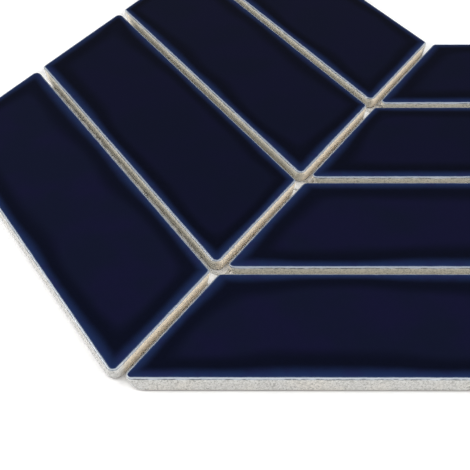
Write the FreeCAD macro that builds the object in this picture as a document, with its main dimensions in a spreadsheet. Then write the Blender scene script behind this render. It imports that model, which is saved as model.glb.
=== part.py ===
import FreeCAD, Part
import math
import os
import Sketcher

# Chevron mosaic wall tile sheet: eight slanted ceramic strips in two mirrored columns,
# glued by their backs to an open glass-fibre net. Millimetres, glazed faces up, +Y along
# the straight joint between the two columns, points of the chevrons towards -Y.
# The origin is at the middle of the sheet, on the plane that the net lies on.

SIZES = {
    # slanted strip, measured at its widest, just under the glazed face
    "face_width": 44.8,
    "column_width": 121.3,
    "strip_angle": 60.0,
    "strip_thickness": 5.6,
    "corner_radius": 2.0,
    # soft fall of the face towards its edges, and the narrow bevel where the glaze thins
    "cushion_width": 4.5,
    "cushion_drop": 0.4,
    "glaze_bevel": 0.8,
    # upright rim under the bevel, then the wall that draws in to the back
    "rim_height": 1.6,
    "wall_draft": 11.0,
    "back_bevel": 0.4,
    # shallow keys pressed into the back of each strip
    "groove_width": 3.0,
    "groove_depth": 0.5,
    "groove_spacing": 8.0,
    "groove_count": 5,
    "groove_end_margin": 9.0,
    # laying pattern
    "row_count": 4,
    "joint_width": 2.7,
    # net that holds the strips together
    "net_thickness": 0.4,
    "net_pitch": 11.5,
    "thread_width": 1.1,
    "net_margin": 7.0,
}

# How far apart two heights may be and still count as level.
LEVEL = 1e-4

# The right-hand column, and the left-hand one that mirrors it.
HANDS = {"right": 1, "left": -1}

doc = FreeCAD.newDocument("chevron_sheet")


def make_sheet():
    """Writes every driving size into one spreadsheet, a plain number to a cell."""
    sheet = doc.addObject("Spreadsheet::Sheet", "Sizes")
    for row, (name, size) in enumerate(SIZES.items(), start=1):
        sheet.set(f"A{row}", name)
        sheet.set(f"B{row}", str(size))
        sheet.setAlias(f"B{row}", name)
    doc.recompute()
    return sheet


sizes = make_sheet()

# Expressions that several features share. Lengths are along the sheet's own axes.
STRIP_ANGLE = "Sizes.strip_angle * 1 deg"
SPINE_EDGE = f"(Sizes.face_width / sin({STRIP_ANGLE}))"
ROW_PITCH = f"((Sizes.face_width + Sizes.joint_width) / sin({STRIP_ANGLE}))"
SLOPE = f"(90 deg - {STRIP_ANGLE})"
WALL_HEIGHT = "(Sizes.strip_thickness - Sizes.rim_height)"
GROOVE_SPREAD = f"((Sizes.groove_count - 1) * Sizes.groove_spacing / sin({STRIP_ANGLE}))"
COLUMN_CENTRE = "((Sizes.joint_width + Sizes.column_width) / 2)"
NET_HALF_WIDTH = "(Sizes.joint_width / 2 + Sizes.column_width - Sizes.net_margin)"
COLUMN_HALF_LENGTH = f"((Sizes.row_count - 1) * {ROW_PITCH} / 2 + {SPINE_EDGE} / 2)"
COLUMN_RISE = f"({COLUMN_CENTRE} / tan({STRIP_ANGLE}))"
NET_TRIM = f"(Sizes.net_margin / sin({STRIP_ANGLE}))"


def value(name):
    """A driving size as a number, for the first guess of a sketch's geometry."""
    return float(sizes.get(name))


def origin_feature(body, role):
    """One of the body's own planes or axes, by its role."""
    return next(item for item in body.Origin.OriginFeatures if item.Role == role)


def new_sketch(body, name, height=None, plane="XY_Plane"):
    """A sketch on one of the body's planes, raised by an expression where one is given."""
    sketch = body.newObject("Sketcher::SketchObject", name)
    sketch.AttachmentSupport = (origin_feature(body, plane), [""])
    sketch.MapMode = "FlatFace"
    if height:
        sketch.setExpression("AttachmentOffset.Base.z", height)
    return sketch


def bind(sketch, constraint, name, expression):
    """Adds one dimension to a sketch and ties it to an expression."""
    index = sketch.addConstraint(constraint)
    sketch.renameConstraint(index, name)
    sketch.setExpression(f"Constraints.{name}", expression)


def slanted_corners(long, wide, hand):
    """Corners of a slanted outline round its centre, anticlockwise from the lower left."""
    angle = math.radians(value("strip_angle"))
    half_x = long / 2
    half_y = wide / math.sin(angle) / 2
    rise = hand * half_x / math.tan(angle)
    return [
        FreeCAD.Vector(-half_x, -half_y - rise, 0),
        FreeCAD.Vector(half_x, -half_y + rise, 0),
        FreeCAD.Vector(half_x, half_y + rise, 0),
        FreeCAD.Vector(-half_x, half_y - rise, 0),
    ]


def draw_rounded_outline(sketch, corners, radius):
    """Four sides, then an arc at the end of each side. Returns the indices of the sides."""
    rounded = []
    count = len(corners)
    for index, corner in enumerate(corners):
        back = (corners[index - 1] - corner).normalize()
        ahead = (corners[(index + 1) % count] - corner).normalize()
        half_turn = back.getAngle(ahead) / 2
        reach = radius / math.tan(half_turn)
        middle = (back + ahead).normalize() * (radius / math.sin(half_turn))
        rounded.append((corner + back * reach, corner + ahead * reach, corner + middle))
    for index in range(count):
        start = rounded[index][1]
        end = rounded[(index + 1) % count][0]
        sketch.addGeometry(Part.LineSegment(start, end), False)
    for index in range(count):
        start, end, centre = rounded[(index + 1) % count]
        circle = Part.Circle(centre, FreeCAD.Vector(0, 0, 1), radius)
        arc = Part.ArcOfCircle(circle, circle.parameter(start), circle.parameter(end))
        sketch.addGeometry(arc, False)
    for index in range(count):
        sketch.addConstraint(Sketcher.Constraint("Tangent", index, 2, count + index, 1))
        following = (index + 1) % count
        sketch.addConstraint(Sketcher.Constraint("Tangent", count + index, 2, following, 1))
        if index:
            sketch.addConstraint(Sketcher.Constraint("Equal", count, count + index))
    return range(count)


def draw_sharp_outline(sketch, corners):
    """Straight sides joined at their ends. Returns the indices of the sides."""
    count = len(corners)
    for index, corner in enumerate(corners):
        sketch.addGeometry(Part.LineSegment(corner, corners[(index + 1) % count]), False)
    for index in range(count):
        sketch.addConstraint(Sketcher.Constraint("Coincident", index, 2, (index + 1) % count, 1))
    return range(count)


def hold_slant(sketch, sides, centre, hand, width, length):
    """Upright ends and slanted long sides round a centre point, with both sizes bound."""
    lower, outer, upper, inner = sides
    sketch.addConstraint(Sketcher.Constraint("Vertical", outer))
    sketch.addConstraint(Sketcher.Constraint("Vertical", inner))
    sketch.addConstraint(Sketcher.Constraint("Parallel", lower, upper))
    sketch.addConstraint(Sketcher.Constraint("Symmetric", lower, 1, upper, 1, centre, 1))
    slope = math.radians(90 - value("strip_angle"))
    bind(sketch, Sketcher.Constraint("Angle", lower, hand * slope), "slope", f"{hand} * {SLOPE}")
    across, wide = width
    along, long = length
    bind(sketch, Sketcher.Constraint("Distance", upper, 1, lower, wide), "width", across)
    bind(sketch, Sketcher.Constraint("DistanceX", inner, 1, outer, 1, long), "length", along)


def strip_outline(body, hand):
    """The strip's plan at its rim: two edges along the straight joint, two slanted ones."""
    sketch = new_sketch(body, "strip_plan", WALL_HEIGHT)
    wide, long, radius = value("face_width"), value("column_width"), value("corner_radius")
    corners = slanted_corners(long, wide, hand)
    sides = draw_rounded_outline(sketch, corners, radius)
    first_arc = len(sides)
    centre = -1
    hold_slant(
        sketch, sides, centre, hand, ("Sizes.face_width", wide), ("Sizes.column_width", long)
    )
    rounding = Sketcher.Constraint("Radius", first_arc, radius)
    bind(sketch, rounding, "corner_radius", "Sizes.corner_radius")
    return sketch


def groove_outline(body, hand):
    """The lowest of the grooves on the back, parallel to the strip's slanted edges."""
    sketch = new_sketch(body, "groove_plan")
    wide = value("groove_width")
    long = value("column_width") - 2 * value("groove_end_margin")
    lean = math.sin(math.radians(value("strip_angle")))
    drop = (value("groove_count") - 1) / 2 * value("groove_spacing") / lean
    middle = FreeCAD.Vector(0, -drop, 0)
    corners = [corner + middle for corner in slanted_corners(long, wide, hand)]
    sides = draw_sharp_outline(sketch, corners)
    centre = sketch.addGeometry(Part.Point(middle), True)
    sketch.addConstraint(Sketcher.Constraint("PointOnObject", centre, 1, -2))
    length = "Sizes.column_width - 2 * Sizes.groove_end_margin"
    hold_slant(sketch, sides, centre, hand, ("Sizes.groove_width", wide), (length, long))
    lowered = Sketcher.Constraint("DistanceY", centre, 1, -1, 1, drop)
    bind(sketch, lowered, "lowered", f"{GROOVE_SPREAD} / 2")
    return sketch


def level_edges(feature, height):
    """Names of the edges that lie level at one height."""
    return [
        f"Edge{number}"
        for number, edge in enumerate(feature.Shape.Edges, start=1)
        if all(abs(corner.Z - height) < LEVEL for corner in edge.Vertexes)
    ]


def bevel(body, base, name, height, size):
    """Bevels all the edges at one height."""
    feature = body.newObject("PartDesign::Chamfer", name)
    feature.Base = (base, level_edges(base, height))
    feature.setExpression("Size", size)
    doc.recompute()
    return feature


def fall_section(body, name, plane, edge, run):
    """Section of what the cushioned face loses at one edge: a wedge that ends past the edge."""
    sketch = new_sketch(body, name, plane=plane)
    edge_at, edge_expression = edge
    wide, run_expression = run
    top, drop = value("strip_thickness"), value("cushion_drop")
    points = [(edge_at - wide, top), (edge_at + wide, top), (edge_at + wide, top - 2 * drop)]
    corners = [FreeCAD.Vector(across, upward, 0) for across, upward in points]
    level, outer, _ = draw_sharp_outline(sketch, corners)
    sketch.addConstraint(Sketcher.Constraint("Horizontal", level))
    sketch.addConstraint(Sketcher.Constraint("Vertical", outer))
    starts = Sketcher.Constraint("DistanceX", -1, 1, level, 1, edge_at - wide)
    bind(sketch, starts, "starts", f"{edge_expression} - {run_expression}")
    height = Sketcher.Constraint("DistanceY", -1, 1, level, 1, top)
    bind(sketch, height, "height", "Sizes.strip_thickness")
    bind(sketch, Sketcher.Constraint("Distance", level, 2 * wide), "run", f"2 * {run_expression}")
    bind(sketch, Sketcher.Constraint("Distance", outer, 2 * drop), "fall", "2 * Sizes.cushion_drop")
    return sketch


def cushion_face(body, plan):
    """Lets the face fall a little towards all four edges, with mitred corners."""
    lean = math.sin(math.radians(value("strip_angle")))
    side = fall_section(
        body,
        "side_section",
        "YZ_Plane",
        (value("face_width") / 2 / lean, f"{SPINE_EDGE} / 2"),
        (value("cushion_width") / lean, f"(Sizes.cushion_width / sin({STRIP_ANGLE}))"),
    )
    end = fall_section(
        body,
        "end_section",
        "XZ_Plane",
        (value("column_width") / 2, "Sizes.column_width / 2"),
        (value("cushion_width"), "Sizes.cushion_width"),
    )
    falls = []
    lengthways = (plan, ["Edge1"])
    for section, name, direction in ((side, "side_fall", lengthways), (end, "end_fall", None)):
        before = body.Tip.Shape.Volume
        fall = body.newObject("PartDesign::Pocket", name)
        fall.Profile = section
        fall.SideType = "Symmetric"
        if direction:
            fall.ReferenceAxis = direction
        fall.setExpression("Length", f"2 * (Sizes.column_width + {SPINE_EDGE})")
        doc.recompute()
        if fall.Shape.Volume >= before:
            raise RuntimeError(f"{name} cuts nothing")
        falls.append(fall)
    both_ways = body.newObject("PartDesign::PolarPattern", "falls")
    both_ways.Originals = falls
    both_ways.Axis = (origin_feature(body, "Z_Axis"), [""])
    both_ways.Angle = 360
    both_ways.Occurrences = 2
    body.Tip = both_ways
    doc.recompute()
    return both_ways


def strip(side, row):
    """One glazed strip. Its rim is upright and its wall draws in towards the back."""
    hand = HANDS[side]
    body = doc.addObject("PartDesign::Body", f"strip_{side}_{row}")
    body.Label = f"strip_{side}_{row}"
    plan = strip_outline(body, hand)
    rim = body.newObject("PartDesign::Pad", "rim")
    rim.Profile = plan
    rim.setExpression("Length", "Sizes.rim_height")
    wall = body.newObject("PartDesign::Pad", "wall")
    wall.Profile = plan
    wall.Reversed = True
    wall.setExpression("Length", WALL_HEIGHT)
    wall.setExpression("TaperAngle", "-Sizes.wall_draft * 1 deg")
    doc.recompute()
    glaze_edge = bevel(body, wall, "glaze_edge", value("strip_thickness"), "Sizes.glaze_bevel")
    bevel(body, glaze_edge, "back_edge", 0, "Sizes.back_bevel")
    cushion = cushion_face(body, plan)
    groove = body.newObject("PartDesign::Pocket", "groove")
    groove.Profile = groove_outline(body, hand)
    groove.Reversed = True
    groove.setExpression("Length", "Sizes.groove_depth")
    doc.recompute()
    if groove.Shape.Volume >= cushion.Shape.Volume:
        raise RuntimeError("the groove cuts nothing")
    grooves = body.newObject("PartDesign::LinearPattern", "grooves")
    grooves.Originals = [groove]
    grooves.Direction = (origin_feature(body, "Y_Axis"), [""])
    grooves.setExpression("Length", GROOVE_SPREAD)
    grooves.setExpression("Occurrences", "Sizes.groove_count")
    body.Tip = grooves
    body.setExpression("Placement.Base.x", f"{hand} * {COLUMN_CENTRE}")
    body.setExpression(
        "Placement.Base.y", f"({row} - (Sizes.row_count + 1) / 2) * {ROW_PITCH}"
    )
    body.setExpression("Placement.Base.z", "Sizes.net_thickness")
    doc.recompute()
    return body


def net_outline():
    """The net's plan: the sheet's own chevron outline, drawn in by the margin."""
    sketch = doc.addObject("Sketcher::SketchObject", "net_plan")
    half_width = value("column_width") - value("net_margin") + value("joint_width") / 2
    rise = half_width / math.tan(math.radians(value("strip_angle")))
    nose = FreeCAD.Vector(0, -half_width - rise / 2, 0)
    notch = FreeCAD.Vector(0, half_width - rise / 2, 0)
    right_reach = FreeCAD.Vector(half_width, rise, 0)
    left_reach = FreeCAD.Vector(-half_width, rise, 0)
    corners = [nose, nose + right_reach, notch + right_reach]
    corners += [notch, notch + left_reach, nose + left_reach]
    lower_right, right, upper_right, upper_left, left, _ = draw_sharp_outline(sketch, corners)
    sketch.addConstraint(Sketcher.Constraint("PointOnObject", lower_right, 1, -2))
    sketch.addConstraint(Sketcher.Constraint("PointOnObject", upper_left, 1, -2))
    sketch.addConstraint(Sketcher.Constraint("Vertical", right))
    sketch.addConstraint(Sketcher.Constraint("Symmetric", right, 1, left, 2, -2))
    sketch.addConstraint(Sketcher.Constraint("Symmetric", right, 2, left, 1, -2))
    sketch.addConstraint(Sketcher.Constraint("Parallel", lower_right, upper_right))
    slope = math.radians(90 - value("strip_angle"))
    bind(sketch, Sketcher.Constraint("Angle", lower_right, slope), "slope", SLOPE)
    bind(
        sketch,
        Sketcher.Constraint("DistanceX", -1, 1, right, 1, half_width),
        "half_width",
        NET_HALF_WIDTH,
    )
    bind(
        sketch,
        Sketcher.Constraint("DistanceY", lower_right, 1, -1, 1, -nose.y),
        "nose",
        f"{COLUMN_HALF_LENGTH} + {COLUMN_RISE} - {NET_TRIM}",
    )
    bind(
        sketch,
        Sketcher.Constraint("DistanceY", -1, 1, upper_left, 1, notch.y),
        "notch",
        f"{COLUMN_HALF_LENGTH} - {COLUMN_RISE} - {NET_TRIM}",
    )
    doc.recompute()
    return sketch


def net_openings(extent):
    """Square blocks that cut the net's openings, with a thread down each side and the middle."""
    width = value("thread_width")
    columns = round(extent.XMax / value("net_pitch"))
    mesh = (extent.XMax - width / 2) / columns
    rows = math.ceil(max(extent.YMax, -extent.YMin) / mesh)
    clear = mesh - width
    thickness = value("net_thickness")
    openings = []
    for column in range(-columns, columns):
        for row in range(-rows, rows):
            x = column * mesh + width / 2
            y = row * mesh + width / 2
            corner = FreeCAD.Vector(x, y, -thickness)
            openings.append(Part.makeBox(clear, clear, 3 * thickness, corner))
    feature = doc.addObject("Part::Feature", "net_openings")
    feature.Shape = Part.makeCompound(openings)
    return feature


def backing_net():
    """Open net under all the strips, cut from a roll to the chevron outline."""
    plan = net_outline()
    blank = doc.addObject("Part::Extrusion", "net_blank")
    blank.Base = plan
    blank.DirMode = "Normal"
    blank.Solid = True
    blank.setExpression("LengthFwd", "Sizes.net_thickness")
    net = doc.addObject("Part::Cut", "backing_net")
    net.Label = "backing_net"
    net.Refine = False
    net.Base = blank
    net.Tool = net_openings(plan.Shape.BoundBox)
    doc.recompute()
    return net


def main():
    parts = [strip(side, row) for side in HANDS for row in range(1, int(value("row_count")) + 1)]
    parts.append(backing_net())
    for item in doc.Objects:
        if {"Invalid", "Error"} & set(item.State):
            raise RuntimeError(f"{item.Name} failed: {item.State}")
    os.makedirs("parts", exist_ok=True)
    for part in parts:
        shape = part.Shape
        if shape.isNull() or not shape.isValid() or len(shape.Solids) != 1:
            raise RuntimeError(f"{part.Label} is not one valid solid")
        shape.exportStep(f"parts/{part.Label}.step")
        print(f"{part.Label}: {shape.Volume:.1f} mm3")


main()
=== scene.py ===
"""Looks of a chevron mosaic tile sheet: glazed ceramic strips on an open glass-fibre net.

Run as a script. Everything is in metres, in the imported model's own frame.
"""

import math

import bmesh
import bpy
import numpy as np
from mathutils import Matrix, Vector, noise


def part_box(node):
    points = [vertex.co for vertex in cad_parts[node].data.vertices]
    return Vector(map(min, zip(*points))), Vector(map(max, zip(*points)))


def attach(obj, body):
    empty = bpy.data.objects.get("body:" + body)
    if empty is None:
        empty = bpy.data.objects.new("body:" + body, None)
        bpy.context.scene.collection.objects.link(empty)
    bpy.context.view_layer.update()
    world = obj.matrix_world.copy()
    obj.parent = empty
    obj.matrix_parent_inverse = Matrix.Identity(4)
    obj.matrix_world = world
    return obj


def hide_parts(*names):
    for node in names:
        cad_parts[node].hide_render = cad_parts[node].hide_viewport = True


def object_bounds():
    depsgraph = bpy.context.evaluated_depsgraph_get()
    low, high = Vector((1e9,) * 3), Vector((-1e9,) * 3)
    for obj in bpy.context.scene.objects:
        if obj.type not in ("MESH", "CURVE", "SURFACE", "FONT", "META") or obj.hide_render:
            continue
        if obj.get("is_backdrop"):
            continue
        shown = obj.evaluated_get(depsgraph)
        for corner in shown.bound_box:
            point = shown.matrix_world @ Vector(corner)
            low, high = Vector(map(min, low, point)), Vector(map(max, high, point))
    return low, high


bl_info = {
    "name": "Chevron tile sheet",
    "version": (1, 0, 0),
    "blender": (4, 5, 0),
    "location": "View3D > Sidebar > Tile sheet",
    "description": "Builds glazed chevron strips, their backing net and a plain stage",
    "category": "Add Mesh",
}

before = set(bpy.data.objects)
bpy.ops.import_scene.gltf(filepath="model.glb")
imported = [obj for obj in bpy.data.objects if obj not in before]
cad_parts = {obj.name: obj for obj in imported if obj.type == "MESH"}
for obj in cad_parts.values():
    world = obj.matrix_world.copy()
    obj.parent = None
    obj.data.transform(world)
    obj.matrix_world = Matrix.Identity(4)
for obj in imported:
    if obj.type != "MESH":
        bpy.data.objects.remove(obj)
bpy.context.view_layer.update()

MM = 0.001
STRIP_NODES = sorted(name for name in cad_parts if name.startswith("strip_"))
NET_NODE = "backing_net"

# Names of the values that each point of a strip carries
GLAZE_RUN = "glaze_run"
# Shelter: how deep inside the sheet a point lies, as in a joint. The joints' painted light and
# shade follow it
SHELTER = "shelter"
# Painted sheen: how light a strip's glaze is painted, less towards the back of the sheet
PAINTED_SHEEN = "tone"

# How much painted sheen each strip has, from 0 to 1, by column and row: the glaze is painted darker
# towards the back of the sheet, where less sheen falls
STRIP_PAINTED_SHEEN = {"right": (1.0, 0.85, 0.5, 0.45), "left": (1.0, 0.5, 0.45, 0.4)}


# Shader building

class Value:
    """A number or a shader socket that can be used in plain arithmetic."""

    def __init__(self, tree, source):
        self.tree = tree
        self.source = source

    def _math(self, operation, *values):
        node = self.tree.nodes.new("ShaderNodeMath")
        node.operation = operation
        for socket, value in zip(node.inputs, values):
            feed(self.tree, socket, value)
        return Value(self.tree, node.outputs[0])

    def __add__(self, other):
        return self._math("ADD", self, other)

    __radd__ = __add__

    def __sub__(self, other):
        return self._math("SUBTRACT", self, other)

    def __rsub__(self, other):
        return self._math("SUBTRACT", other, self)

    def __mul__(self, other):
        return self._math("MULTIPLY", self, other)

    __rmul__ = __mul__

    def __truediv__(self, other):
        return self._math("DIVIDE", self, other)

    def __rtruediv__(self, other):
        return self._math("DIVIDE", other, self)

    def largest(self, other):
        return self._math("MAXIMUM", self, other)


def feed(tree, socket, value):
    """Links a value to a socket, or sets the socket to a plain number or colour."""
    if isinstance(value, Value):
        value = value.source
    if isinstance(value, bpy.types.NodeSocket):
        tree.links.new(value, socket)
    elif hasattr(socket.default_value, "__len__") and len(socket.default_value) == 4:
        socket.default_value = (*tuple(value)[:3], 1.0)
    else:
        socket.default_value = value


class Finish:
    """A material and the few ways in which this sheet's finishes are mixed."""

    def __init__(self, name):
        self.material = bpy.data.materials.new(name)
        self.material.use_nodes = True
        self.tree = self.material.node_tree
        self.shader = self.tree.nodes["Principled BSDF"]
        self.place = self.node("ShaderNodeTexCoord").outputs["Object"]

    def node(self, kind, settings=None, **sockets):
        """Adds a node. Settings come first, then the values or links of its sockets."""
        made = self.tree.nodes.new(kind)
        for name, value in (settings or {}).items():
            setattr(made, name, value)
        for name, value in sockets.items():
            feed(self.tree, made.inputs[name.replace("_", " ")], value)
        return made

    def attribute(self, name):
        made = self.node("ShaderNodeAttribute", {"attribute_name": name})
        return Value(self.tree, made.outputs["Fac"])

    def noise(self, scale, detail, roughness=0.5):
        """Noise of a given number of lumps to the metre, from 0 to 1."""
        made = self.node(
            "ShaderNodeTexNoise",
            Vector=self.place,
            Scale=scale,
            Detail=detail,
            Roughness=roughness,
        )
        return Value(self.tree, made.outputs["Fac"])

    def step(self, value, low, high):
        """Rises smoothly from 0 at low to 1 at high."""
        made = self.node(
            "ShaderNodeMapRange",
            {"interpolation_type": "SMOOTHSTEP"},
            Value=value,
            From_Min=low,
            From_Max=high,
        )
        return Value(self.tree, made.outputs["Result"])

    def patches(self, scale, detail, roughness, low, high):
        """Soft-edged patches: noise that is 0 up to a low level and 1 from a high one."""
        return self.step(self.noise(scale, detail, roughness), low, high)

    def mix(self, share, first, second):
        """Colour mix: first where the share is 0 and second where it is 1."""
        made = self.node("ShaderNodeMix", {"data_type": "RGBA"}, Factor=share)
        first_colour, second_colour, mixed = made.inputs[6], made.inputs[7], made.outputs[2]
        feed(self.tree, first_colour, first)
        feed(self.tree, second_colour, second)
        return mixed

    def bump(self, height, strength, distance):
        made = self.node("ShaderNodeBump", Height=height, Strength=strength, Distance=distance)
        return made.outputs["Normal"]

    def set(self, **values):
        """Sets or links the shader's own sockets, and returns the material."""
        for name, value in values.items():
            feed(self.tree, self.shader.inputs[name.replace("_", " ")], value)
        return self.material


# What a user may change

def length(name, about, millimetres):
    return bpy.props.FloatProperty(
        name=name,
        description=about,
        default=millimetres * MM,
        subtype="DISTANCE",
        unit="LENGTH",
    )


def angle(name, about, degrees):
    return bpy.props.FloatProperty(
        name=name,
        description=about,
        default=math.radians(degrees),
        subtype="ANGLE",
        unit="ROTATION",
    )


def colour(name, about, value):
    return bpy.props.FloatVectorProperty(
        name=name,
        description=about,
        default=value,
        size=3,
        min=0.0,
        max=1.0,
        subtype="COLOR",
    )


class StripShape(bpy.types.PropertyGroup):
    """Sizes of one slanted strip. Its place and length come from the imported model."""

    face_width: length("Face width", "Across the strip, from long edge to long edge", 44.8)
    corner_radius: length("Corner radius", "Rounding of the corners in plan", 2.0)
    rim_bottom: length("Rim bottom", "Height over the back at which the upright rim starts", 4.0)
    edge_start: length("Edge start", "Height over the back at which the rim rolls over", 4.62)
    edge_width: length("Edge width", "Width of the rolled edge, seen from above", 0.8)
    cushion_width: length("Cushion width", "How far in from the edge the face still falls", 6.0)
    cushion_drop: length("Cushion drop", "How far the face falls to its edge", 0.4)
    back_round: length("Back rounding", "Size of the rounding round the back", 0.4)
    groove_width: length("Groove width", "Width of the keys in the back", 3.0)
    groove_depth: length("Groove depth", "Depth of the keys in the back", 0.5)
    groove_spacing: length("Groove spacing", "From key to key, across the strip", 8.0)
    groove_end: length("Groove end", "From the end of a key to the end of the strip", 9.0)
    groove_count: bpy.props.IntProperty(
        name="Grooves", description="Number of keys in the back", default=5, min=0
    )
    corner_angle: angle("Corner angle", "Angle of the strip's sharp corners", 60.0)
    wall_draft: angle("Wall draft", "Lean of the wall under the rim", 11.0)
    waviness: length("Waviness", "How far the pressed edges wander in plan", 0.05)
    clearance: length("Clearance", "Kept inside the packed solid all round", 0.012)
    unevenness: length("Unevenness", "Depth of the slow waves in the glazed face", 0.02)


class StripColours(bpy.types.PropertyGroup):
    """Colours of the glaze and of the bare ceramic."""

    deep: colour("Deep glaze", "The glaze where it lies thick", (0.0046, 0.0066, 0.0225))
    deep_violet: colour("Deep violet", "Clouds in the thick glaze", (0.0058, 0.0058, 0.0285))
    # The darkest glaze and the darkest pool are painted shade for the back strips, where less sheen
    # falls
    deep_dark: colour("Darkest glaze", "Thick glaze of the darker strips", (0.0024, 0.0034, 0.0135))
    pooled: colour("Pooled glaze", "The dark band inside the edge", (0.0018, 0.0030, 0.0115))
    pooled_dark: colour("Darkest pool", "That band on the darker strips", (0.0009, 0.0014, 0.0060))
    mottle: colour("Mottle", "Fine unevenness of the glaze", (0.0036, 0.0046, 0.0200))
    thin: colour("Thin glaze", "The blue band along the edge", (0.0137, 0.0284, 0.0978))
    violet: colour("Violet glaze", "Patches of the blue band", (0.0150, 0.0238, 0.0912))
    shoulder: colour("Shoulder", "Where the blue band meets the pale line", (0.044, 0.070, 0.145))
    # The pale edge line is thin glaze over the edge, and in part a painted highlight
    edge: colour("Edge line", "The glaze drawn thin over the edge", (0.45, 0.50, 0.56))
    edge_bright: colour("Bright edge line", "Its thinnest places", (0.54, 0.58, 0.63))
    # Painted shade: the pale line dimmer in the joints
    edge_joint_shade: colour("Edge line in joints", "The thin glaze in the joints", (0.32, 0.36, 0.43))
    # The dark lip is the glaze's own end, and in part a painted shadow under the rolled edge; on
    # the long sides it is painted darker shade
    lip: colour("Glaze lip", "Where the glaze ends on the rim", (0.13, 0.135, 0.155))
    lip_shade: colour("Dark glaze lip", "The lip on the long sides", (0.055, 0.063, 0.070))
    body: colour("Bare ceramic", "The unglazed sides and back", (0.77, 0.77, 0.755))
    # The warm patches are the ceramic's own; at the strips' ends in the joints this colour is
    # painted warm light
    body_warm_and_lit: colour("Warm ceramic", "Warmer bare ceramic, as at the ends", (0.96, 0.85, 0.69))
    # Painted shade of the bare ceramic in the long joints
    body_joint_shade: colour("Joint ceramic", "Bare ceramic in the long joints", (0.72, 0.695, 0.605))
    clot: colour("Clots", "Duller lumps in the bare ceramic", (0.36, 0.35, 0.33))
    grain: colour("Grain", "The dark side of its finest grain", (0.36, 0.35, 0.32))
    pit: colour("Pits", "Small pits in the bare ceramic", (0.26, 0.25, 0.23))
    # Foot: painted contact shade, which darkens the bare ceramic where the back rounds off onto the
    # floor
    foot: colour("Foot", "Dusty ceramic where the back rounds off", (0.36, 0.30, 0.24))


class NetShape(bpy.types.PropertyGroup):
    """Sizes of the backing net."""

    coarse_pitch: length("Main pitch", "From main thread to main thread", 11.495)
    divisions: bpy.props.IntProperty(
        name="Divisions", description="Threads to each main pitch", default=2, min=1
    )
    yarn_width: length("Yarn width", "Width of one flattened yarn", 0.9)
    yarn_height: length("Yarn height", "Height of one flattened yarn", 0.29)
    coat: colour("Coating", "Resin coating of the yarn", (0.90, 0.90, 0.88))
    coat_warm: colour("Warm coating", "Thicker places of the coating", (0.78, 0.77, 0.72))
    fibre: colour("Fibre", "Glass fibres that show through it", (0.62, 0.62, 0.58))


class StageLook(bpy.types.PropertyGroup):
    """Camera, light and floor."""

    focal: bpy.props.FloatProperty(
        name="Focal length",
        description="Of the camera, on a 36 mm frame",
        default=89.234,
        min=1.0,
    )
    elevation: angle("Elevation", "Camera above the floor", 37.867)
    azimuth: angle("Azimuth", "Camera round the sheet", 30.94)
    roll: angle("Roll", "Tilt of the picture", -0.582)
    camera_place: bpy.props.FloatVectorProperty(
        name="Camera",
        description="Where the camera stands",
        default=(0.14474, -0.32076, 0.23052),
        size=3,
        subtype="XYZ",
        unit="LENGTH",
    )
    room_light: bpy.props.FloatProperty(
        name="Room light",
        description="Strength of the light from all round",
        default=0.045,
        min=0.0,
    )
    floor_colour: colour("Floor", "Plain pale floor", (0.95, 0.95, 0.95))
    floor_mottle: colour("Floor mottle", "Its faint darker patches", (0.92, 0.92, 0.92))
    floor_lift: colour("Floor lift", "Added to the floor where it is seen", (0.20, 0.20, 0.20))
    far_lift: colour("Far floor lift", "Added to it far from the sheet", (0.85, 0.85, 0.85))


# Strips

# Width of the sloping sides of a key, and how sharply the face turns down towards its edge
GROOVE_SLOPE = 0.25 * MM
CUSHION_POWER = 2.2

# Rows of the profile: insets on the back's flat, shares of the wall's height, insets and heights
# over the rim's bottom of the rows next to it, and insets on the falling face in millimetres
BACK_INSETS = (3.0 * MM, 1.2 * MM)
WALL_SHARES = (0.25, 0.5, 0.75, 0.92)
RIM_ROWS = ((0.04 * MM, -0.05 * MM), (0.0, 0.2 * MM))
CUSHION_INSETS = (1.0, 1.3, 1.7, 2.2, 2.8, 3.5, 4.3, 5.2)
ROUNDING_ROWS = 6
EDGE_ROWS = 10

# How far the bend of the rolled edge lies under its inner end
EDGE_BEND = 0.05 * MM

# The corners in plan grow towards the back and shrink over the face, for each metre of either
CORNER_GROWTH = 0.12
CORNER_SHRINK = 1.35
LEAST_CORNER = 0.7 * MM

# The mesh's lines: how far they keep from the long edges, the least share of the width at which
# one lies, and how many there are from groove end to groove end and from there to the strip's end
LINE_MARGIN = 4 * MM
LEAST_SHARE = 0.03
MIDDLE_LINES = 42
OUTER_LINES = 5

# Over this distance the face's waves fade out towards its edge
WAVE_FADE = 5 * MM


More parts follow.
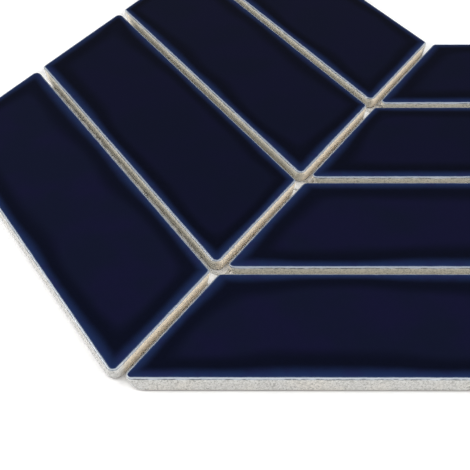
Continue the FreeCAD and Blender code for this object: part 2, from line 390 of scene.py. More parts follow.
class Outline:
    """Rings that follow a strip's rounded slanted outline at any inset."""

    ARC_STEPS = 8

    def __init__(self, shape, centre, column_width, hand, long_stations, short_stations):
        self.centre = np.array(centre)
        self.angle = shape.corner_angle
        self.half_x = column_width / 2
        self.half_y = shape.face_width / math.sin(self.angle) / 2
        self.lean = hand / math.tan(self.angle)
        self.stations = [long_stations, short_stations]
        self.stations += [1 - stations[::-1] for stations in self.stations]

    def corners(self, inset):
        """Sharp corners of the outline drawn in by an inset, anticlockwise."""
        x = self.half_x - inset
        y = self.half_y - inset / math.sin(self.angle)
        signs = ((-1, -1), (1, -1), (1, 1), (-1, 1))
        return [np.array([sx * x, sy * y + sx * x * self.lean]) for sx, sy in signs]

    def ring(self, inset, radius):
        """Points of the ring. It starts half-way round the first corner's arc."""
        corners = self.corners(inset)
        arcs = []
        for index, corner in enumerate(corners):
            back = corners[index - 1] - corner
            ahead = corners[(index + 1) % 4] - corner
            back /= np.linalg.norm(back)
            ahead /= np.linalg.norm(ahead)
            half = math.acos(float(np.clip(back @ ahead, -1, 1))) / 2
            bisector = (back + ahead) / np.linalg.norm(back + ahead)
            middle = corner + bisector * radius / math.sin(half)
            start = corner + back * radius / math.tan(half) - middle
            sweep = math.pi - 2 * half
            turns = np.linspace(0, sweep, self.ARC_STEPS + 1)
            arcs.append([middle + rotate(start, turn) for turn in turns])
        points = []
        for index in range(4):
            arc = arcs[index]
            following = arcs[(index + 1) % 4]
            half_arc = self.ARC_STEPS // 2
            points += arc[half_arc:]
            points += [arc[-1] + (following[0] - arc[-1]) * share for share in self.stations[index]]
            points += following[:half_arc]
        return np.array(points) + self.centre

    def side_counts(self):
        """Segments along the long and the short sides, corner to corner."""
        return [len(self.stations[side]) + 1 + self.ARC_STEPS for side in (0, 1)]


def rotate(vector, turn):
    cosine, sine = math.cos(turn), math.sin(turn)
    return np.array([cosine * vector[0] - sine * vector[1], sine * vector[0] + cosine * vector[1]])


def wall_profile(shape, thickness):
    """(inset, height, corner radius) from the back's flat to the face's flat, and the lip's row."""
    slope = math.tan(shape.wall_draft)

    def wall_inset(height):
        return max(0.0, shape.rim_bottom - height) * slope

    def corner(inset, height):
        """Corners are rounder towards the back and sharper on the face."""
        below = max(0.0, shape.rim_bottom - height)
        inside = inset if below == 0 else inset - wall_inset(height)
        radius = shape.corner_radius + CORNER_GROWTH * below - CORNER_SHRINK * inside
        return max(radius, LEAST_CORNER)

    foot = wall_inset(0)
    rows = [(foot + inset, 0.0) for inset in BACK_INSETS]
    rounding = shape.back_round
    start, bend, end = (foot + rounding, 0.0), (foot, 0.0), (wall_inset(rounding), rounding)
    rows += [bezier(start, bend, end, share) for share in np.linspace(0, 1, ROUNDING_ROWS)]
    for share in WALL_SHARES:
        z = rounding + (shape.rim_bottom - rounding) * share
        rows.append((wall_inset(z), z))
    rows += [(inset, shape.rim_bottom + above) for inset, above in RIM_ROWS]
    lip_row = len(rows)
    rows.append((0.0, shape.edge_start))
    edge_top = thickness - cushion_fall(shape, shape.edge_width)
    start, end = (0.0, shape.edge_start), (shape.edge_width, edge_top)
    bend = (0.0, edge_top - EDGE_BEND)
    rows += [bezier(start, bend, end, share) for share in np.linspace(0, 1, EDGE_ROWS)[1:]]
    for inset in CUSHION_INSETS:
        rows.append((inset * MM, thickness - cushion_fall(shape, inset * MM)))
    rows.append((shape.cushion_width, thickness))
    return [(*row, corner(*row)) for row in rows], lip_row


def cushion_fall(shape, inset):
    """How far the face lies under its flat middle at an inset."""
    share = max(0.0, 1 - inset / shape.cushion_width)
    return shape.cushion_drop * share ** CUSHION_POWER


def bezier(start, bend, end, share):
    """A point on the smooth bend from start to end that heads for the bend's own point."""
    points = np.array([start, bend, end])
    weights = np.array([(1 - share) ** 2, 2 * share * (1 - share), share ** 2])
    return tuple(weights @ points)


def groove_stations(shape):
    """Shares of the strip's width at which its mesh has lines, from the edges of the grooves.

    The back's innermost ring is smaller than the strip, so its lines miss those edges.
    """
    width = shape.face_width
    half = shape.groove_width / 2
    floor_half = half - GROOVE_SLOPE
    edges = []
    for number in range(shape.groove_count):
        middle = (number - (shape.groove_count - 1) / 2) * shape.groove_spacing
        edges += [middle + offset for offset in (-half, -floor_half, 0, floor_half, half)]
        edges.append(middle + shape.groove_spacing / 2)
    edges = [edge for edge in edges if abs(edge) < width / 2 - LINE_MARGIN]
    edges.append(-(shape.groove_count / 2) * shape.groove_spacing)
    shares = np.array(sorted(edges)) / width + 0.5
    return shares[(shares > LEAST_SHARE) & (shares < 1 - LEAST_SHARE)]


def long_stations(shape, column_width):
    """The same along the strip: close together past the grooves' ends, and even between them."""
    end = shape.groove_end / column_width
    slope = GROOVE_SLOPE / column_width
    ends = np.array([end, end + slope])
    middle = np.linspace(end + slope, 1 - end - slope, MIDDLE_LINES)[1:-1]
    outer = np.linspace(0, end, OUTER_LINES)[1:-1]
    return np.concatenate([outer, ends, middle, 1 - ends[::-1], 1 - outer[::-1]])


def coons_patch(ring, long_count, short_count):
    """Fills a four-sided ring with a grid. Returns rows of points, the ring's own included."""
    low = ring[: long_count + 1]
    right = ring[long_count: long_count + short_count + 1]
    high = ring[long_count + short_count: 2 * long_count + short_count + 1][::-1]
    left = np.vstack([ring[2 * long_count + short_count:], ring[:1]])[::-1]

    def shares(line):
        steps = np.linalg.norm(np.diff(line, axis=0), axis=1)
        return np.concatenate([[0], np.cumsum(steps)]) / steps.sum()

    across = shares(low)[None, :, None]
    upward = shares(left)[:, None, None]
    ruled = (1 - upward) * low[None] + upward * high[None]
    crossed = (1 - across) * left[:, None] + across * right[:, None]
    corners = (
        (1 - across) * (1 - upward) * low[0] + across * (1 - upward) * low[-1]
        + (1 - across) * upward * high[0] + across * upward * high[-1]
    )
    return ruled + crossed - corners


def wandering(point, height, amount):
    """Small sideways wander of the pressed edges. It changes slowly along them and upward."""
    along, upward = 55.0, 40.0
    return amount * noise.noise(Vector((point[0] * along, point[1] * along, height * upward)))


def limit(value):
    """The value, held between 0 and 1."""
    return min(max(value, 0.0), 1.0)


class Sheet:
    """The outline of all the strips together: a chevron between two parallel zigzags."""

    # The shelter grows over this distance. It starts at this share of it from the outer side
    FADE = 3.2 * MM
    OPEN_SHARE = 0.6

    def __init__(self, shape):
        corners = [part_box(node) for node in STRIP_NODES]
        self.reach = max(high.x for low, high in corners)
        self.lean = 1 / math.tan(shape.corner_angle)
        self.nose = min(low.y for low, high in corners)
        self.notch = max(high.y for low, high in corners) - self.reach * self.lean

    def shelter(self, x, y):
        """0 on the sheet's outer sides and 1 well inside it, as in a joint."""
        level = y - abs(x) * self.lean
        room = min(self.reach - abs(x), level - self.nose, self.notch - level)
        return limit(room / self.FADE - self.OPEN_SHARE)


class StripMesh:
    """Collects one strip's points, faces and glaze distances."""

    # The ends' share of shelter, and the distance round a corner over which it changes
    END_SHARE = 0.5
    CORNER_FADE = 3.0 * MM

    def __init__(self, shape, node, hand, sheet):
        self.shape = shape
        self.sheet = sheet
        self.low, self.high = (np.array(corner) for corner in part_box(node))
        self.base = self.low[2]
        self.thickness = self.high[2] - self.low[2]
        centre = (self.low[:2] + self.high[:2]) / 2
        column_width = self.high[0] - self.low[0]
        self.hand = hand
        self.centre = centre
        self.column_width = column_width
        stations = long_stations(shape, column_width), groove_stations(shape)
        self.outline = Outline(shape, centre, column_width, hand, *stations)
        self.points, self.faces, self.runs, self.shelters = [], [], [], []

    def add_ring(self, inset, height, radius, run):
        first = len(self.points)
        ring = self.outline.ring(inset, radius)
        inward = self.centre - ring
        inward /= np.linalg.norm(inward, axis=1)[:, None]
        for point, direction in zip(ring, inward):
            shift = self.shape.clearance + abs(wandering(point, height, self.shape.waviness))
            place = point + direction * shift
            self.points.append((place[0], place[1], self.base + height))
            self.runs.append(run)
            self.shelters.append(self.sheet.shelter(*point) * self.side_share(*point))
        return range(first, len(self.points))

    def join_rings(self, lower, upper):
        count = len(lower)
        for index in range(count):
            following = (index + 1) % count
            self.faces.append((lower[index], lower[following], upper[following], upper[index]))

    def cap(self, ring_indices, heights, runs, upward):
        """Closes a ring with a grid, from each inner point's height over the ring and run."""
        ring = np.array([self.points[index][:2] for index in ring_indices])
        level = self.points[ring_indices[0]][2]
        long_count, short_count = self.outline.side_counts()
        grid = coons_patch(ring, long_count, short_count)
        rows, columns = grid.shape[:2]
        lookup = {}
        order = [(0, c) for c in range(columns)] + [(r, columns - 1) for r in range(1, rows)]
        order += [(rows - 1, c) for c in range(columns - 2, -1, -1)]
        order += [(r, 0) for r in range(rows - 2, 0, -1)]
        for place, index in zip(order, ring_indices):
            lookup[place] = index
        for r in range(1, rows - 1):
            for c in range(1, columns - 1):
                x, y = grid[r, c]
                lookup[r, c] = len(self.points)
                self.points.append((x, y, level + heights(x, y)))
                self.runs.append(runs(x, y))
                self.shelters.append(0.0)
        for r in range(rows - 1):
            for c in range(columns - 1):
                face = (lookup[r, c], lookup[r, c + 1], lookup[r + 1, c + 1], lookup[r + 1, c])
                self.faces.append(face if upward else face[::-1])

    def across(self, x, y):
        """Signed distances of a point from the strip's middle: across it, and along X."""
        dx, dy = x - self.centre[0], y - self.centre[1]
        lean = self.hand / math.tan(self.shape.corner_angle)
        return (dy - dx * lean) * math.sin(self.shape.corner_angle), dx

    def side_share(self, x, y):
        """1 on the long sides and the ends' share on the ends."""
        across, along = self.across(x, y)
        to_side = self.shape.face_width / 2 - abs(across)
        to_end = self.column_width / 2 - abs(along)
        past_corner = limit((to_side - to_end) / self.CORNER_FADE + 0.5)
        return 1 - (1 - self.END_SHARE) * past_corner

    def groove_height(self, x, y):
        """Depth of the keys in the back at a point."""
        shape = self.shape
        across, along = self.across(x, y)
        end = self.column_width / 2 - shape.groove_end - abs(along)
        nearest = across / shape.groove_spacing + (shape.groove_count - 1) / 2
        nearest = min(max(round(nearest), 0), shape.groove_count - 1)
        middle = (nearest - (shape.groove_count - 1) / 2) * shape.groove_spacing
        side = shape.groove_width / 2 - abs(across - middle)
        return shape.groove_depth * limit(min(end, side) / GROOVE_SLOPE)

    def room(self, x, y):
        """Distance of a point from the nearest edge, eased where two edges are as near."""
        across, along = self.across(x, y)
        sides = (self.shape.face_width / 2 - abs(across), self.column_width / 2 - abs(along))
        ease = 1.2 * MM
        eased = -ease * math.log(sum(math.exp(-side / ease) for side in sides))
        return max(eased, self.shape.cushion_width)

    def face_height(self, x, y):
        """Slow waves of the glazed face. They only go down, and fade out towards its edge."""
        waves, layer = 28.0, 3.1
        fade = limit((self.room(x, y) - self.shape.cushion_width) / WAVE_FADE)
        wave = noise.noise(Vector((x * waves, y * waves, self.hand * layer)))
        return -self.shape.unevenness * fade * (0.5 + 0.5 * wave)

    def build(self, name, tone):
        """Makes the piece. Its points carry their distance from the lip, shelter and painted sheen.
        """
        rows, lip_row = wall_profile(self.shape, self.thickness)
        runs = [0.0]
        for (inset, height, _), (before, below, _) in zip(rows[1:], rows):
            runs.append(runs[-1] + math.hypot(inset - before, height - below))
        lip = runs[lip_row]
        rings = [self.add_ring(*row, (run - lip) / MM) for row, run in zip(rows, runs)]
        for lower, upper in zip(rings, rings[1:]):
            self.join_rings(lower, upper)
        start, end = (runs[0] - lip) / MM, (runs[-1] - lip - self.shape.cushion_width) / MM
        self.cap(rings[0], self.groove_height, lambda x, y: start, upward=False)
        self.cap(rings[-1], self.face_height, lambda x, y: end + self.room(x, y) / MM, upward=True)
        mesh = bpy.data.meshes.new(name)
        mesh.from_pydata(self.points, [], self.faces)
        painted_sheens = [tone] * len(self.points)
        for key, values in ((GLAZE_RUN, self.runs), (SHELTER, self.shelters), (PAINTED_SHEEN, painted_sheens)):
            layer = mesh.attributes.new(key, "FLOAT", "POINT")
            layer.data.foreach_set("value", np.array(values, np.float32))
        mesh.polygons.foreach_set("use_smooth", [True] * len(mesh.polygons))
        mesh.update()
        mesh.validate()
        return link(name, mesh)


def link(name, data):
    """Makes an object of a mesh, lamp or camera, and puts it in the scene."""
    piece = bpy.data.objects.new(name, data)
    bpy.context.scene.collection.objects.link(piece)
    return piece


# Unevenness that the strips' layers share: lumps to the metre, detail and roughness
DRIFT = (420.0, 3.0)
GRAIN = (5200.0, 3.0, 0.6)
SPECKLE = (1900.0, 4.0, 0.7)
PEEL = (260.0, 2.0)

# Patterns of the strips: the same three, then the low and high levels
WARM_PATCHES = (90.0, 3.0, 0.5, 0.42, 0.68)
CLOTS = (1300.0, 2.0, 0.6, 0.42, 0.56)
PITS = (1800.0, 3.0, 0.6, 0.57, 0.62)
WIDE_BAND = (22.0, 1.0, 0.5, 0.3, 0.7)
CLOUDS = (48.0, 2.0, 0.5, 0.36, 0.64)
MOTTLE = (900.0, 3.0, 0.6, 0.3, 0.7)
VIOLET_PATCHES = (210.0, 2.0, 0.5, 0.48, 0.66)
LIP_PIECES = (190.0, 3.0, 0.5, 0.36, 0.54)
LIP_CRUMBS = (750.0, 2.0, 0.5, 0.36, 0.5)

# Levels of shelter, grain and drift. Each change takes place between two of them
JOINT_LEVELS = (0.0, 0.5)
LONG_JOINT_LEVELS = (0.55, 0.95)
GRAIN_LEVELS = (0.35, 0.65)
BRIGHT_LEVELS = (-0.2, 0.2)

# Millimetres along the surface, inward from the lip that the glaze ends at, in pairs as well
# The first pair: where the painted contact shade at the foot fades out
FOOT_SHADE_ENDS = (-4.40, -4.22)
GLAZE_STARTS = (0.16, 0.26)
LIP_ENDS = (0.21, 0.37)
EDGE_LINE_ENDS = (0.76, 1.06)

# Where the blue band starts, in millimetres as above. What changes inward from there is given in
# band widths
BAND_STARTS = 1.0
SHOULDER_ENDS = (-0.15, 0.45)
BAND_ENDS = (-0.6, 4.0)
POOL_ENDS = (5.0, 10.5)

# One band width in millimetres: the least, what is added where the band is wide, and the share
# that the strips painted darkest have of it. Drift moves the band by a share of one width
BAND_WIDTH = 0.75
BAND_WIDENING = 0.55
DARK_BAND_SHARE = 0.62
BAND_DRIFT = 0.4

# Millimetres by which drift and speckle move the start of the glaze, and by which each moves the
# end of the pale line
WANDER_BY_DRIFT = 0.35
WANDER_BY_SPECKLE = 0.3
EDGE_LINE_WANDER = 0.25

# Millimetres by which the lip and the pale line end further in on the long sides
LONG_SIDE_LIP = 0.19
LONG_SIDE_EDGE_LINE = 0.06

# How much of its own colour each layer shows at most, from 0 to 1
WARM_EVERYWHERE = 0.06
WARM_IN_PATCHES = 0.22
# Painted warm light in the joints, and painted shade in the long joints
WARM_LIGHT_IN_JOINTS = 0.9
SHADE_IN_LONG_JOINTS = 0.85
CLOT_SHARE = 0.36
GRAIN_SHARE = 0.2
PIT_SHARE = 0.65
# Share of the painted contact shade at the foot
FOOT_SHADE_SHARE = 0.45
MOTTLE_SHARE = 0.22
# Share of the painted shade on the pale line in the joints
EDGE_JOINT_SHARE = 0.8
LIP_SHARE = 0.8
# More of the lip's painted shadow in the joints
LIP_SHARE_IN_JOINTS = 0.1
CRUMB_SHARE = 0.65

# How much smoother and plainer the ceramic is in the joints, and the share of clots and pits that
# the long joints have back
SMOOTH_IN_JOINTS = 0.6
PLAIN_IN_JOINTS = 0.5
SPOTTED_IN_LONG_JOINTS = 0.42

# Roughness of the surfaces, and the shares of the relief's parts
BARE_ROUGHNESS = 0.62
GLAZE_ROUGHNESS = 0.08
GRAIN_RELIEF = 0.6
SPECKLE_RELIEF = 0.4
PEEL_RELIEF = 0.12


class StripPlaces:
    """Where a point of a strip lies, and the unevenness that its layers share."""

    def __init__(self, finish):
        self.run = finish.attribute(GLAZE_RUN)
        self.tone = finish.attribute(PAINTED_SHEEN)
        shelter = finish.attribute(SHELTER)
        self.joint = finish.step(shelter, *JOINT_LEVELS)
        self.long_joint = finish.step(shelter, *LONG_JOINT_LEVELS)
        self.long_side = 1 - self.joint + self.long_joint
        self.drift = finish.noise(*DRIFT) - 0.5
        self.grain = finish.noise(*GRAIN)
        self.speckle = finish.noise(*SPECKLE)
        drifted = self.run + self.drift * WANDER_BY_DRIFT
        self.wander = drifted + (self.speckle - 0.5) * WANDER_BY_SPECKLE
        self.glazed = finish.step(self.wander, *GLAZE_STARTS)


def bare_ceramic(finish, colours, place):
    """Pale grainy ceramic with warm patches of its own. Painted warm light makes it warmer and
    brighter at the strips' ends in the joints, and painted shade makes it darker in the long
    joints.
    """
    warm = WARM_EVERYWHERE + finish.patches(*WARM_PATCHES) * WARM_IN_PATCHES
    bare = finish.mix(warm, colours.body, colours.body_warm_and_lit)
    # Painted warm light at the ends in the joints, then painted shade in the long joints
    bare = finish.mix(place.joint * WARM_LIGHT_IN_JOINTS, bare, colours.body_warm_and_lit)
    bare = finish.mix(place.long_joint * SHADE_IN_LONG_JOINTS, bare, colours.body_joint_shade)
    spotted = 1 - place.joint * PLAIN_IN_JOINTS + place.long_joint * SPOTTED_IN_LONG_JOINTS
    clots = (1 - finish.patches(*CLOTS)) * CLOT_SHARE
    bare = finish.mix(clots * spotted, bare, colours.clot)
    grain = (1 - finish.step(place.grain, *GRAIN_LEVELS)) * GRAIN_SHARE
    bare = finish.mix(grain, bare, colours.grain)
    return finish.mix(finish.patches(*PITS) * PIT_SHARE * spotted, bare, colours.pit)


def glaze_over_face(finish, colours, place):
    """Dark thick glaze with a darker pool round it, and a blue band of thinner glaze outside.
    Painted sheen: the glaze is painted darker, and its band narrower, towards the back of the
    sheet.
    """
    field = finish.mix(finish.patches(*CLOUDS), colours.deep, colours.deep_violet)
    # Painted sheen: the glaze and pool of the back strips are painted darker
    field = finish.mix(place.tone, colours.deep_dark, field)
    pooled = finish.mix(place.tone, colours.pooled_dark, colours.pooled)
    width = BAND_WIDTH + finish.patches(*WIDE_BAND) * BAND_WIDENING
    width = width * (DARK_BAND_SHARE + place.tone * (1 - DARK_BAND_SHARE))
    inward = (place.run - BAND_STARTS) / width + place.drift * BAND_DRIFT
    glaze = finish.mix(finish.step(inward, *POOL_ENDS), pooled, field)
    glaze = finish.mix(finish.patches(*MOTTLE) * MOTTLE_SHARE, glaze, colours.mottle)
    thin = finish.mix(finish.patches(*VIOLET_PATCHES), colours.thin, colours.violet)
    glaze = finish.mix(finish.step(inward, *BAND_ENDS), thin, glaze)
    return finish.mix(finish.step(inward, *SHOULDER_ENDS), colours.shoulder, glaze)


def glaze_over_edge(finish, colours, place, glaze):
    """The pale line where the glaze is drawn thin, partly a painted highlight and painted dimmer in
    the joints, and the dark broken lip that it ends in, partly a painted shadow.
    """
    ragged = place.drift * EDGE_LINE_WANDER + (place.speckle - 0.5) * EDGE_LINE_WANDER
    line_run = place.run - place.long_side * LONG_SIDE_EDGE_LINE + ragged
    past_line = finish.step(line_run, *EDGE_LINE_ENDS)
    # Brighter places of the pale line: thinner glaze, and in part painted highlight
    bright = finish.step(place.drift, *BRIGHT_LEVELS)
    pale = finish.mix(bright, colours.edge, colours.edge_bright)
    # Painted shade of the pale line in the joints
    pale = finish.mix(place.joint * EDGE_JOINT_SHARE, pale, colours.edge_joint_shade)
    glaze = finish.mix(past_line, pale, glaze)
    past_lip = finish.step(place.wander - place.long_side * LONG_SIDE_LIP, *LIP_ENDS)
    crumbs = 1 - (1 - finish.patches(*LIP_CRUMBS)) * place.long_side * CRUMB_SHARE
    share = LIP_SHARE + place.joint * LIP_SHARE_IN_JOINTS
    pieces = finish.patches(*LIP_PIECES) * crumbs * share
    # Painted shadow under the rolled edge, darker on the long sides
    lip = finish.mix(place.long_side, colours.lip, colours.lip_shade)
    return finish.mix((1 - past_lip) * pieces, glaze, lip)


def fired_strip(colours):
    """Glaze that thins to a pale line over the edge, and grainy bare ceramic below it. Painted
    light and shade: a highlight on the pale line, a shadow under the lip, light and shade in the
    joints, darker back strips and contact shade at the foot.
    """
    finish = Finish("fired_strip")
    place = StripPlaces(finish)
    bare = bare_ceramic(finish, colours, place)
    glaze = glaze_over_edge(finish, colours, place, glaze_over_face(finish, colours, place))
    base = finish.mix(place.glazed, bare, glaze)
    # Painted contact shade where the back rounds off onto the floor
    foot = 1 - finish.step(place.run, *FOOT_SHADE_ENDS)
    base = finish.mix(foot * FOOT_SHADE_SHARE, base, colours.foot)
    roughness = BARE_ROUGHNESS - place.glazed * (BARE_ROUGHNESS - GLAZE_ROUGHNESS)
    grainy = (1 - place.glazed) * (1 - place.joint * SMOOTH_IN_JOINTS)
    height = grainy * (place.grain * GRAIN_RELIEF + place.speckle * SPECKLE_RELIEF)
    height = height + place.glazed * finish.noise(*PEEL) * PEEL_RELIEF
    normal = finish.bump(height, strength=0.6, distance=0.2 * MM)
    return finish.set(Base_Color=base, Roughness=roughness, Normal=normal, IOR=1.5)


class TILE_OT_strips(bpy.types.Operator):
    """Makes the eight glazed strips, each in the place of its own solid"""

    bl_idname = "tile.strips"
    bl_label = "Make the strips"

    def execute(self, context):
        shape = context.scene.tile_strip
        material = fired_strip(context.scene.tile_strip_colours)
        sheet = Sheet(shape)
        for node in STRIP_NODES:
            hand = 1 if "right" in node else -1
            tone = STRIP_PAINTED_SHEEN[node.split("_")[1]][int(node[-1]) - 1]
            piece = StripMesh(shape, node, hand, sheet).build(f"glazed_{node}", tone)
            piece.data.materials.append(material)
            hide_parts(node)
            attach(piece, "root")
        return {"FINISHED"}


# Net

YARN_SIDES = 6

# How far a yarn waves up and down, how much its width varies, and lumps of that to the metre
WEAVE = 0.05 * MM
FRAY = 0.18
FRAY_LUMPS = 400

# Fibres and blotches of the coating, as the strips' patterns are given
FIBRES = (2600.0, 2.0)
FIBRE_LEVELS = (0.35, 0.65)
FIBRE_SHARE = 0.2
COAT_BLOTCHES = (140.0, 2.0, 0.5, 0.4, 0.7)
BLOTCH_SHARE = 0.3
COAT_ROUGHNESS = 0.45
FIBRE_ROUGHNESS = 0.2


def yarn(points, faces, start, end, shape, phase, spacing, lift):
    """Adds one flattened, frayed yarn that waves over and under the ones it crosses."""
    start, end = Vector(start), Vector(end)
    run = end - start
    along = run.normalized()
    side = Vector((-along.y, along.x, 0))
    steps = max(2, round(run.length / (spacing / 2)))
    first = len(points)
    for step in range(steps + 1):
        middle = start + run * (step / steps)
        travel = (middle.x + middle.y) / spacing
        weave = WEAVE * math.sin(math.pi * (travel + phase))
        fray = 1 + FRAY * noise.noise(Vector((middle.x * FRAY_LUMPS, middle.y * FRAY_LUMPS, lift)))
        for corner in range(YARN_SIDES):
            turn = 2 * math.pi * corner / YARN_SIDES
            across = side * (math.cos(turn) * shape.yarn_width / 2 * fray)
            upward = math.sin(turn) * shape.yarn_height / 2
            points.append((middle.x + across.x, middle.y + across.y, lift + weave + upward))
    for step in range(steps):
        for corner in range(YARN_SIDES):
            a = first + step * YARN_SIDES + corner
            b = first + step * YARN_SIDES + (corner + 1) % YARN_SIDES
            faces.append((a, a + YARN_SIDES, b + YARN_SIDES, b))
    faces.append(tuple(range(first, first + YARN_SIDES)))
    last = first + steps * YARN_SIDES
    faces.append(tuple(range(last + YARN_SIDES - 1, last - 1, -1)))


def net_spans(low, high, lean, shape, spacing):
    """Straight threads both ways, each cut where the chevron outline cuts it."""
    half_x = high.x
    nose = low.y
    notch = high.y - half_x * lean
    columns = int(round(half_x / spacing))
    for column in range(-columns, columns + 1):
        x = column * spacing
        x = max(min(x, half_x - shape.yarn_width / 2), -half_x + shape.yarn_width / 2)
        yield (x, nose + abs(x) * lean), (x, notch + abs(x) * lean), column
    rows_low = math.ceil(nose / spacing)
    rows_high = math.floor(high.y / spacing)
    for row in range(rows_low, rows_high + 1):
        y = row * spacing
        reach = min(half_x, (y - nose) / lean)
        inner = max(0.0, (y - notch) / lean)
        if inner > 0:
            yield (-reach, y), (-inner, y), row
            yield (inner, y), (reach, y), row
        elif reach > shape.yarn_width:
            yield (-reach, y), (reach, y), row


def coated_yarn(shape):
    """Resin-coated glass yarn: pale and satin, with its fibres showing through."""
    finish = Finish("coated_yarn")
    fibres = finish.noise(*FIBRES)
    blotches = finish.patches(*COAT_BLOTCHES) * BLOTCH_SHARE
    base = finish.mix(blotches, shape.coat, shape.coat_warm)
    base = finish.mix(finish.step(fibres, *FIBRE_LEVELS) * FIBRE_SHARE, base, shape.fibre)
    roughness = COAT_ROUGHNESS + fibres * FIBRE_ROUGHNESS
    normal = finish.bump(fibres, strength=0.5, distance=0.2 * MM)
    return finish.set(Base_Color=base, Roughness=roughness, Normal=normal)


class TILE_OT_net(bpy.types.Operator):
    """Makes the woven backing net in the place of its plain solid"""

    bl_idname = "tile.net"
    bl_label = "Make the net"

    def execute(self, context):
        shape = context.scene.tile_net
        low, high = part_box(NET_NODE)
        lean = 1 / math.tan(context.scene.tile_strip.corner_angle)
        spacing = shape.coarse_pitch / shape.divisions
        middle = (high.z + low.z) / 2
        points, faces = [], []
        for start, end, number in net_spans(low, high, lean, shape, spacing):
            yarn(points, faces, (*start, 0), (*end, 0), shape, number, spacing, middle)
        mesh = bpy.data.meshes.new("woven_net")
        mesh.from_pydata(points, [], faces)
        mesh.polygons.foreach_set("use_smooth", [True] * len(mesh.polygons))
        mesh.update()
        piece = link("woven_net", mesh)
        piece.data.materials.append(coated_yarn(shape))
        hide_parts(NET_NODE)
        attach(piece, "root")
        return {"FINISHED"}


# Stage

# Name, place, width and height in metres, and power in watts. All of them face the sheet
LAMPS = (
    ("overhead", (0.0, -0.3, 1.6), (1.3, 1.3), 3.6),
    ("left", (-1.3, -0.7, 0.75), (1.0, 0.8), 20.0),
    ("right", (1.15, 0.35, 1.05), (1.3, 0.75), 17.0),
    ("front", (1.0, -0.8, 1.0), (1.0, 0.9), 8.2),
)
FLOOR_HALF_SIZE = 3.0
FLOOR_GAP = 0.02 * MM
FLOOR_PATCHES = (30.0, 3.0)
FLOOR_PATCH_SHARE = 0.2

# The floor's own light fades out as the sheet closes over it, and grows with the distance
OPEN_REACH = 9.0 * MM
OPEN_SHARES = (0.20, 0.38)
FAR_METRES = (0.5, 1.9)


def pale_floor(look):
    """Matt white board with the faintest mottling. It looks a little brighter than it lights."""
    finish = Finish("pale_floor")
    patches = finish.noise(*FLOOR_PATCHES) * FLOOR_PATCH_SHARE
    base = finish.mix(patches, look.floor_colour, look.floor_mottle)
    rays = finish.node("ShaderNodeLightPath").outputs
    seen = Value(finish.tree, rays["Is Camera Ray"])
    seen = seen.largest(rays["Is Glossy Ray"]).largest(rays["Is Transmission Ray"])
    opening = finish.node("ShaderNodeAmbientOcclusion", {"samples": 8}, Distance=OPEN_REACH)
    open_share = finish.step(opening.outputs["AO"], *OPEN_SHARES)
    distance = finish.node("ShaderNodeVectorMath", {"operation": "LENGTH"}, Vector=finish.place)
    far = finish.step(distance.outputs["Value"], *FAR_METRES)
    added = finish.mix(far, look.floor_lift, look.far_lift)
    lift = finish.mix(seen * open_share, (0.0, 0.0, 0.0), added)
    return finish.set(
        Base_Color=base, Roughness=0.85, Emission_Color=lift, Emission_Strength=1.0
    )


def make_floor(look):
    mesh = bpy.data.meshes.new("floor")
    build = bmesh.new()
    bmesh.ops.create_grid(build, x_segments=24, y_segments=24, size=FLOOR_HALF_SIZE)
    build.to_mesh(mesh)
    build.free()
    floor = link("floor", mesh)
    floor.location.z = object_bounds()[0][2] - FLOOR_GAP
    floor.data.materials.append(pale_floor(look))
    floor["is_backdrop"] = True


def softbox(name, place, size, power):
    """A rectangular lamp that faces the middle of the sheet."""
    lamp = bpy.data.lights.new(name, "AREA")
    lamp.shape = "RECTANGLE"
    lamp.size, lamp.size_y = size
    lamp.energy = power
    piece = link(name, lamp)
    piece.location = place
    piece.rotation_euler = (-Vector(place)).to_track_quat("-Z", "Y").to_euler()


def make_world(look):
    world = bpy.data.worlds.new("soft_room")
    world.use_nodes = True
    background = world.node_tree.nodes["Background"]
    background.inputs["Color"].default_value = (1, 1, 1, 1)
    background.inputs["Strength"].default_value = look.room_light
    bpy.context.scene.world = world


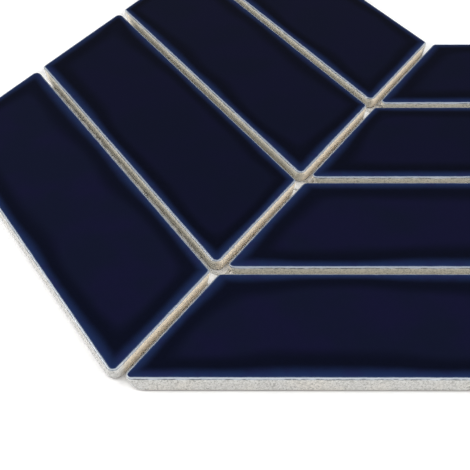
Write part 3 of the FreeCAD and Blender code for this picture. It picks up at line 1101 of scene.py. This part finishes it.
def make_camera(look):
    """A camera from its azimuth, elevation and roll, at its own place."""
    cosine, sine = math.cos(look.elevation), math.sin(look.elevation)
    forward = Vector((-math.sin(look.azimuth) * cosine, math.cos(look.azimuth) * cosine, -sine))
    right = Vector((math.cos(look.azimuth), math.sin(look.azimuth), 0))
    up = right.cross(forward)
    turned_right = right * math.cos(look.roll) + up * math.sin(look.roll)
    turned_up = -right * math.sin(look.roll) + up * math.cos(look.roll)
    lens = bpy.data.cameras.new("camera")
    lens.lens = look.focal
    lens.sensor_width = 36.0
    lens.clip_start = 0.01
    camera = link("camera", lens)
    axes = Matrix((turned_right, turned_up, -forward)).transposed()
    camera.matrix_world = Matrix.Translation(look.camera_place) @ axes.to_4x4()
    bpy.context.scene.camera = camera


class TILE_OT_stage(bpy.types.Operator):
    """Sets up the floor, the soft light and the camera"""

    bl_idname = "tile.stage"
    bl_label = "Set the stage"

    def execute(self, context):
        look = context.scene.tile_stage
        make_floor(look)
        for lamp in LAMPS:
            softbox(*lamp)
        make_world(look)
        context.scene.view_settings.view_transform = "Standard"
        make_camera(look)
        return {"FINISHED"}


class TILE_PT_panel(bpy.types.Panel):
    """Lists the steps in the 3D view's sidebar"""

    bl_idname = "TILE_PT_panel"
    bl_label = "Tile sheet"
    bl_space_type = "VIEW_3D"
    bl_region_type = "UI"
    bl_category = "Tile sheet"

    def draw(self, context):
        for operator in (TILE_OT_strips, TILE_OT_net, TILE_OT_stage):
            self.layout.operator(operator.bl_idname)


GROUPS = {
    "tile_strip": StripShape,
    "tile_strip_colours": StripColours,
    "tile_net": NetShape,
    "tile_stage": StageLook,
}
CLASSES = (*GROUPS.values(), TILE_OT_strips, TILE_OT_net, TILE_OT_stage, TILE_PT_panel)


def register():
    for item in CLASSES:
        bpy.utils.register_class(item)
    for name, group in GROUPS.items():
        setattr(bpy.types.Scene, name, bpy.props.PointerProperty(type=group))


def unregister():
    for name in GROUPS:
        delattr(bpy.types.Scene, name)
    for item in reversed(CLASSES):
        bpy.utils.unregister_class(item)


def main():
    register()
    bpy.ops.tile.strips()
    bpy.ops.tile.net()
    bpy.ops.tile.stage()


if __name__ == "__main__":
    main()
